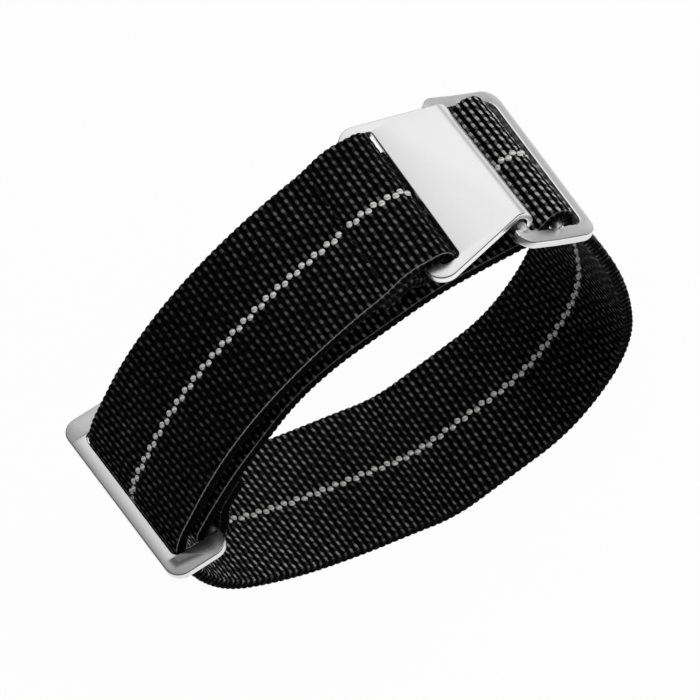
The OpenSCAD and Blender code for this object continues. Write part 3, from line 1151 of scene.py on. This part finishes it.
def mark_edges(piece, bars):
    """Give the sharp outer edges a bevel weight, but not where a bar meets its rails."""
    mesh = piece.data
    points = vertices_of(piece)
    at_root = np.zeros(len(points), bool)
    for bar in bars:
        away = np.hypot(points[:, 0] - bar.x, points[:, 2] - bar.z)
        at_root |= (away < BAR_REACH - ROOT_SLACK) & (np.abs(points[:, 1]) < RAIL_MIDDLE)
    edges = np.zeros(len(mesh.edges) * 2, int)
    mesh.edges.foreach_get("vertices", edges)
    edges = edges.reshape(-1, 2)
    beside = {}
    for polygon in mesh.polygons:
        for key in polygon.edge_keys:
            beside.setdefault(key, []).append(polygon.normal)
    weights = []
    for a, b in edges.tolist():
        normals = beside.get((min(a, b), max(a, b)), [])
        sharp = len(normals) == 2 and normals[0].angle(normals[1], 0.0) > SHARP_ANGLE
        weights.append(float(sharp and not at_root[a] and not at_root[b]))
    layer = mesh.attributes.new("bevel_weight_edge", "FLOAT", "EDGE")
    layer.data.foreach_set("value", weights)


def tumbled(node, name, satin, polished, bars, slope):
    """A copy of a steel part with its flat faces joined up and its edges rounded."""
    source = frame["nodes"][node]
    look = settings("hardware")
    piece = bpy.data.objects.new(name, source.data.copy())
    bpy.context.scene.collection.objects.link(piece)
    make_active(piece)
    bpy.ops.object.mode_set(mode="EDIT")
    bpy.ops.mesh.select_all(action="SELECT")
    bpy.ops.mesh.remove_doubles(threshold=MERGE)
    bpy.ops.mesh.dissolve_limited(angle_limit=math.radians(1.0))
    bpy.ops.mesh.normals_make_consistent(inside=False)
    cut_beside(bars, Vector((math.cos(math.radians(slope)), 0, -math.sin(math.radians(slope)))))
    bpy.ops.object.mode_set(mode="OBJECT")
    sink_roots(piece, bars, slope)
    dress(piece, satin, polished)
    for polygon in piece.data.polygons:
        polygon.material_index = 0
    mark_edges(piece, bars)
    rounding = piece.modifiers.new("Edges", "BEVEL")
    rounding.limit_method = "WEIGHT"
    rounding.width = look.edge_round
    rounding.segments = 3
    rounding.use_clamp_overlap = False
    rounding.material = 1
    bpy.ops.object.modifier_apply(modifier=rounding.name)
    bpy.ops.object.shade_smooth_by_angle(angle=math.radians(34))
    piece.data.name = name
    return piece


class STRAP_OT_hardware(bpy.types.Operator):
    """Round the edges of the hook plate and the two frames and finish them in satin steel"""

    bl_idname = "strap.hardware"
    bl_label = "Hardware"

    def execute(self, context):
        look = settings("hardware")
        # One steel, painted lighter on the plate and darker on the frames as light and shade; the
        # frames also get a deeper frosted bump.
        bright = steel_material("satin_steel", look.lit_plate_steel, look.roughness, 0.008 * MM)
        frosted_and_shaded = steel_material("frosted_shaded_steel", look.shaded_frame_steel, look.roughness, 0.016 * MM)
        polished = steel_material("steel_edge", look.lit_plate_steel, look.edge_roughness, 0.004 * MM)
        catch_bars = [JOINTS["clasp_tilt"], JOINTS["catch_rock"]]
        end_bars = [JOINTS["end_rock"]]
        hook_plate = tumbled("hook_plate", "satin_hook_plate", bright, polished, [], 0)
        press_nose(hook_plate)
        set_down(hook_plate)
        catch_frame = tumbled(
            "catch_frame", "satin_catch_frame", frosted_and_shaded, polished, catch_bars, CATCH_TILT
        )
        set_down_catch(catch_frame)
        end_frame = tumbled("end_frame", "satin_end_frame", frosted_and_shaded, polished, end_bars, END_TILT)
        set_down(end_frame)
        for piece, node, body in (
            (hook_plate, "hook_plate", "clasp"),
            (catch_frame, "catch_frame", "catch"),
            (end_frame, "end_frame", "end_link"),
        ):
            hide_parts(node)
            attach(piece, body)
        return {"FINISHED"}


# The stage


# The floor's glow as metal sees it: how far it is full, how wide it fades, and the part it loses

GLOW_REACH = 0.07
GLOW_FADE = 0.2
GLOW_LOSS = 0.88

# The side from which metal is lit white, and the cosines between which that light rises

WHITE_SIDE = (0.6, 0.5, 0.62)
WHITE_FROM = 0.71
WHITE_TO = 0.93
WHITE = (1.0, 1.0, 1.0)
FLOOR_LIGHT = 0.97
TARGET_ASIDE = 0.93 * MM


def white_surround(paint, floor_light):
    """A floor that the camera sees nearly white, and metal too near the object, with a shadow."""
    camera, glossy, through_glass = paint.rays()
    place = paint.object_point()
    reach = paint.node("ShaderNodeVectorMath", {"operation": "LENGTH"}, {0: place}, output="Value")
    near = 1.0 - GLOW_LOSS * ((reach - GLOW_REACH) / GLOW_FADE).clamped()
    seen = (camera + glossy * near + through_glass).clamped()
    glow = paint.node("ShaderNodeEmission", {}, {"Color": WHITE, "Strength": 1.0})
    lit = Value(paint, paint.shader.outputs[0])
    mixed = paint.node("ShaderNodeMixShader", {}, {0: floor_light * seen, 1: lit, 2: glow})
    paint.feed(paint.tree.nodes["Material Output"].inputs["Surface"], mixed)


def studio_world(sky, horizon):
    """White to the camera, even to cloth, and to metal one white side that fades to dark walls."""
    world = bpy.data.worlds.new("studio")
    nodes = Nodes(world)
    camera, glossy, through_glass = nodes.rays()
    direction = nodes.node("ShaderNodeTexCoord", {}, {}, output="Generated")
    lean = nodes.node(
        "ShaderNodeVectorMath",
        {"operation": "DOT_PRODUCT"},
        {0: direction, 1: WHITE_SIDE},
        output="Value",
    )
    limits = {"From Min": WHITE_FROM, "From Max": WHITE_TO, "To Min": horizon, "To Max": 1.0}
    metal = nodes.node("ShaderNodeMapRange", {}, {"Value": lean, **limits})
    seen = nodes.between(glossy, sky, metal)
    level = nodes.between(camera.math("MAXIMUM", through_glass), seen, 1.0)
    background = nodes.tree.nodes["Background"]
    nodes.feed(background.inputs["Color"], WHITE)
    nodes.feed(background.inputs["Strength"], level)
    return world


def add_light(name, location, target, size, power):
    """A soft square light that faces its target and isn't mirrored in metal."""
    bpy.ops.object.light_add(type="AREA", location=location)
    light = bpy.context.object
    light.name = name
    light.data.size = size
    light.data.energy = power
    light.visible_glossy = False
    sight = Vector(target) - Vector(location)
    light.rotation_euler = sight.to_track_quat("-Z", "Y").to_euler()


def add_camera(look, target):
    """The camera at the photograph's angle, rolled so that the strap lies across the frame."""
    elevation, roll = math.radians(look.elevation), math.radians(look.roll)
    forward = Vector((0, math.cos(elevation), -math.sin(elevation)))
    upward = Vector((0, math.sin(elevation), math.cos(elevation)))
    across = Vector((1, 0, 0))
    right = math.cos(roll) * across + math.sin(roll) * upward
    top = math.cos(roll) * upward - math.sin(roll) * across
    bpy.ops.object.camera_add(location=target - look.distance * forward)
    camera = bpy.context.object
    camera.name = "camera"
    camera.rotation_euler = Matrix((right, top, -forward)).transposed().to_euler()
    camera.data.sensor_width = 36.0
    camera.data.lens = look.lens
    return camera


class STRAP_OT_stage(bpy.types.Operator):
    """Set the floor, the light and the camera"""

    bl_idname = "strap.stage"
    bl_label = "Stage"

    def execute(self, context):
        look = settings("stage")
        scene = bpy.context.scene
        clear_selection()
        bpy.ops.mesh.primitive_plane_add(size=6.0, location=(0, 0, 0))
        floor = named("floor")
        paint = Paint("pale_floor", {"Base Color": (0.8, 0.8, 0.8), "Roughness": 0.9})
        white_surround(paint, FLOOR_LIGHT)
        dress(floor, paint.material)

        scene.world = studio_world(look.sky, look.horizon)

        middle = (0, 0, look.target_height)
        add_light("key_light", (0.2, 0.04, 0.46), middle, 0.3, look.key_power)
        add_light("side_light", (0.4, -0.32, 0.26), middle, 0.25, look.fill_power)

        middle_x = (CAD_BOX[0][0] + CAD_BOX[1][0]) / 2 + TARGET_ASIDE
        scene.camera = add_camera(look, Vector((middle_x, 0, look.target_height)))
        scene.view_settings.view_transform = "Standard"
        return {"FINISHED"}


class STRAP_PT_panel(bpy.types.Panel):
    """Steps that build the strap"""

    bl_idname = "STRAP_PT_panel"
    bl_label = "Nylon Watch Strap"
    bl_space_type = "VIEW_3D"
    bl_region_type = "UI"
    bl_category = "Strap"

    def draw(self, context):
        for operator in OPERATORS:
            self.layout.operator(operator.bl_idname)


SETTINGS = {
    "webbing": WebbingSettings,
    "stripe": StripeSettings,
    "hardware": HardwareSettings,
    "sewing": SewingSettings,
    "pose": PoseSettings,
    "stage": StageSettings,
}
OPERATORS = (STRAP_OT_stage, STRAP_OT_webbing, STRAP_OT_stripe, STRAP_OT_sewing, STRAP_OT_hardware)


def register():
    for cls in (*SETTINGS.values(), *OPERATORS, STRAP_PT_panel):
        bpy.utils.register_class(cls)
    for name, cls in SETTINGS.items():
        setattr(bpy.types.Scene, "strap_" + name, PointerProperty(type=cls))


def unregister():
    for name in SETTINGS:
        delattr(bpy.types.Scene, "strap_" + name)
    for cls in reversed((*SETTINGS.values(), *OPERATORS, STRAP_PT_panel)):
        bpy.utils.unregister_class(cls)


def main():
    register()
    bpy.ops.strap.stage()
    bpy.ops.strap.webbing()
    bpy.ops.strap.stripe()
    bpy.ops.strap.sewing()
    bpy.ops.strap.hardware()


if __name__ == "__main__":
    main()
